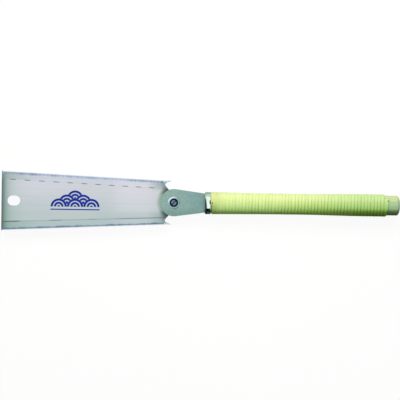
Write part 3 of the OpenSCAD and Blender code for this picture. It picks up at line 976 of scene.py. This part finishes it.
def make_screw():
    """Slotted pan-head screw with a rolled thread below the washer."""
    sides = 64
    pitch_steps = 6
    dome_steps = 8
    threaded = WASHER_TOP - THREAD_RUN_OUT - SCREW_LOW.z
    count = math.ceil(threaded / THREAD_PITCH * pitch_steps)
    rings = [thread_ring(SCREW_LOW.z + threaded * i / count, sides) for i in range(count + 1)]
    rings.append(round_ring(THREAD_R, WASHER_TOP, sides))
    rings.append(round_ring(HEAD_R - HEAD_EASE, WASHER_TOP, sides))
    rings.append(round_ring(HEAD_R, WASHER_TOP + HEAD_EASE, sides))
    for i in range(dome_steps + 1):
        a = math.pi / 2 * i / dome_steps
        r = HEAD_R - HEAD_ROUND * (1 - math.cos(a))
        rings.append(round_ring(r, SCREW_HIGH.z - HEAD_ROUND * (1 - math.sin(a)), sides))
    rings.append(round_ring(HEAD_FLAT_R, SCREW_HIGH.z, sides))
    dress(carve(loft("slotted_screw", rings), slot_cutter()), "screw", "screw_steel", ["clamp_screw"])


def slot_cutter():
    """Solid of the slot across the screw's head, which stands out past the head."""
    stand_out = 2 * MM
    half = SLOT_W / 2
    low = SCREW_HIGH.z - SLOT_DEPTH
    high = SCREW_HIGH.z + stand_out
    turn = Matrix.Rotation(SLOT_ANGLE, 3, "Z")
    rings = []
    for end in (-2 * HEAD_R, 2 * HEAD_R):
        corners = ((end, -half, low), (end, half, low), (end, half, high), (end, -half, high))
        rings.append([turn @ Vector(c) + Vector((SCREW.x, SCREW.y, 0)) for c in corners])
    return loft("slot_cutter", rings)


def make_nut():
    """Hexagon nut with chamfered corners below, and a bore that is countersunk at both ends."""
    sides = 96
    flat = NUT_AF / 2
    face_r = 0.96 * flat
    bore = THREAD_R - NUT_BITE
    low_sink = 0.6 * MM
    high_sink = 0.5 * MM
    sixth = math.tau / 6

    def hexagon(angle):
        return flat / math.cos((angle + sixth / 2) % sixth - sixth / 2)

    def rise(x, y):
        return max(0, math.hypot(x - SCREW.x, y - SCREW.y) - face_r) * math.tan(NUT_CHAMFER)

    corners = [(x, y, z + rise(x, y)) for x, y, z in round_ring(hexagon, NUT_LOW.z, sides)]
    rings = [
        round_ring(bore, NUT_HIGH.z - high_sink, sides),
        round_ring(bore, NUT_LOW.z + low_sink, sides),
        round_ring(bore + low_sink, NUT_LOW.z, sides),
        round_ring(face_r, NUT_LOW.z, sides),
        corners,
        round_ring(hexagon, NUT_HIGH.z, sides),
        round_ring(bore + high_sink, NUT_HIGH.z, sides)]
    dress(loft("hex_nut", rings, loop=True), "handle", "washer_steel", ["clamp_nut"], angle=25)


def break_edges(node):
    """Small rounds on a sheared plate's edges, once its faces are whole."""
    weld = node.modifiers.new("weld", "WELD")
    weld.merge_threshold = WELD_GAP
    whole = node.modifiers.new("whole", "DECIMATE")
    whole.decimate_type = "DISSOLVE"
    whole.angle_limit = FLAT_ANGLE
    bevel = node.modifiers.new("edges", "BEVEL")
    bevel.width = EDGE_BREAK
    bevel.segments = 3
    bevel.limit_method = "ANGLE"
    bevel.angle_limit = EDGE_ANGLE
    bevel.use_clamp_overlap = False


# The pieces in place
make_ferrule()
make_core("wood_front_half", "handle_front_half", 1)
make_core("wood_back_half", "handle_back_half", -1)
make_rattan()
make_tacks()
make_screw()
make_nut()

SLOTS = {part["node"]: part["material_slot"] for part in frame["record"]["subparts"]}
for name, node in frame["nodes"].items():
    node.data.materials.clear()
    node.data.materials.append(MATERIALS[SLOTS[name]])
for name in ("holder_front_cheek", "holder_back_cheek"):
    break_edges(frame["nodes"][name])


# Stage, lights and camera
def set_camera():
    """A camera straight above the saw, which puts the screw on its pixel."""
    data = bpy.data.cameras.new("camera")
    data.lens = LENS
    data.sensor_width = SENSOR
    camera = place_new("camera", data)
    right = Vector((math.cos(ROLL), math.sin(ROLL), 0))
    up = Vector((-math.sin(ROLL), math.cos(ROLL), 0))
    aim = Vector((SCREW.x, SCREW.y, AXIS_Z))
    aim += PIXEL * ((IMAGE_SIDE / 2 - SCREW_PIXEL[0]) * right + (SCREW_PIXEL[1] - IMAGE_SIDE / 2) * up)
    camera.location = aim + Vector((0, 0, IMAGE_SIDE * PIXEL * LENS / SENSOR))
    camera.rotation_euler = (0, 0, ROLL)
    scene.camera = camera


def stage_quad(name, corners, material):
    """A flat piece of the stage with four corners."""
    mesh = bpy.data.meshes.new(name)
    mesh.from_pydata(corners, [], [(0, 1, 2, 3)])
    mesh.materials.append(material)
    return place_new(name, mesh)


def set_floor():
    """A floor that looks white and takes the saw's shadow."""
    grey = (FLOOR_GREY, FLOOR_GREY, FLOOR_GREY, 1)
    p = Paint("floor", Base_Color=grey, Roughness=1.0, Specular_IOR_Level=0.0)
    p.set(Emission_Color=WHITE, Emission_Strength=p.times(p.background_rays(), FLOOR_GLOW))
    signs = ((-1, -1), (1, -1), (1, 1), (-1, 1))
    floor = stage_quad("floor", [(x * FLOOR_HALF, y * FLOOR_HALF, 0) for x, y in signs], p.material)


def set_world():
    """Faint tinted light from all round, and white where the background is seen."""
    world = bpy.data.worlds.new("studio")
    scene.world = world
    world.use_nodes = True
    nodes = Nodes(world.node_tree)
    light = [WORLD_LEVEL * c for c in WORLD_TINT] + [1]
    background = nodes.tree.nodes["Background"]
    nodes.feed(background.inputs["Color"], nodes.mix(nodes.background_rays(), light, WHITE))
    nodes.feed(background.inputs["Strength"], 1.0)


def set_light(name, power, size, place, aim, spread=math.pi):
    """A rectangular lamp that mirrors don't see."""
    data = bpy.data.lights.new(name, "AREA")
    data.energy = power
    data.shape = "RECTANGLE"
    data.size, data.size_y = size
    data.spread = spread
    light = place_new(name, data)
    light.location = place
    light.rotation_euler = (Vector(aim) - Vector(place)).to_track_quat("-Z", "Y").to_euler()
    light.visible_glossy = False


def set_card(name, low, high, colour):
    """A flat card that only mirrors see, such as a studio's flag: its opposite corners and its colour."""
    (left, front, bottom), (right, back, top) = low, high
    if bottom == top:
        corners = [low, (right, front, bottom), high, (left, back, bottom)]
    else:
        corners = [low, (right, back, bottom), high, (left, front, top)]
    p = Paint(name, Base_Color=BLACK, Roughness=1.0, Specular_IOR_Level=0.0)
    p.set(Emission_Color=srgb(*colour), Emission_Strength=1.0)
    card = stage_quad(name, corners, p.material)
    for kind in ("camera", "diffuse", "transmission", "volume_scatter", "shadow"):
        setattr(card, "visible_" + kind, False)


def set_cards():
    """Dark cards in front of the handle and past its ferrule, and pale ones behind."""
    before = MOUTH_X - FERRULE_ROOM
    after = FERRULE_END + FERRULE_ROOM
    near_low = (CARD_LEFT, -CARD_Y, CARD_LIFT)
    near_high = (CARD_RIGHT, -CARD_CLEAR, CARD_LIFT)
    right_low = (after, -6 * MM, 35 * MM)
    right_high = (after, 10 * MM, 100 * MM)
    set_card("front_card", (CARD_LEFT, -CARD_Y, 0), (CARD_RIGHT, -CARD_Y, CARD_TOP), (0, 12, 12))
    set_card("near_card", near_low, near_high, (60, 82, 80))
    set_card("far_card", (before, CARD_CLEAR, CARD_LIFT), (after, CARD_Y, CARD_LIFT), (166, 185, 166))
    set_card("back_card", (-BACK_HALF, CARD_Y, 0), (BACK_HALF, CARD_Y, BACK_PART), (200, 220, 192))
    set_card("back_rise", (-BACK_HALF, CARD_Y, BACK_PART), (BACK_HALF, CARD_Y, BACK_TOP), (206, 230, 210))
    set_card("right_card", right_low, right_high, (30, 40, 36))


set_camera()
set_floor()
set_world()
set_light("key", KEY_POWER, KEY_SIZE, KEY_PLACE, KEY_AIM)
set_light("fill", FILL_POWER, FILL_SIZE, FILL_PLACE, FILL_AIM, FILL_SPREAD)
set_cards()

scene.view_settings.view_transform = "Standard"
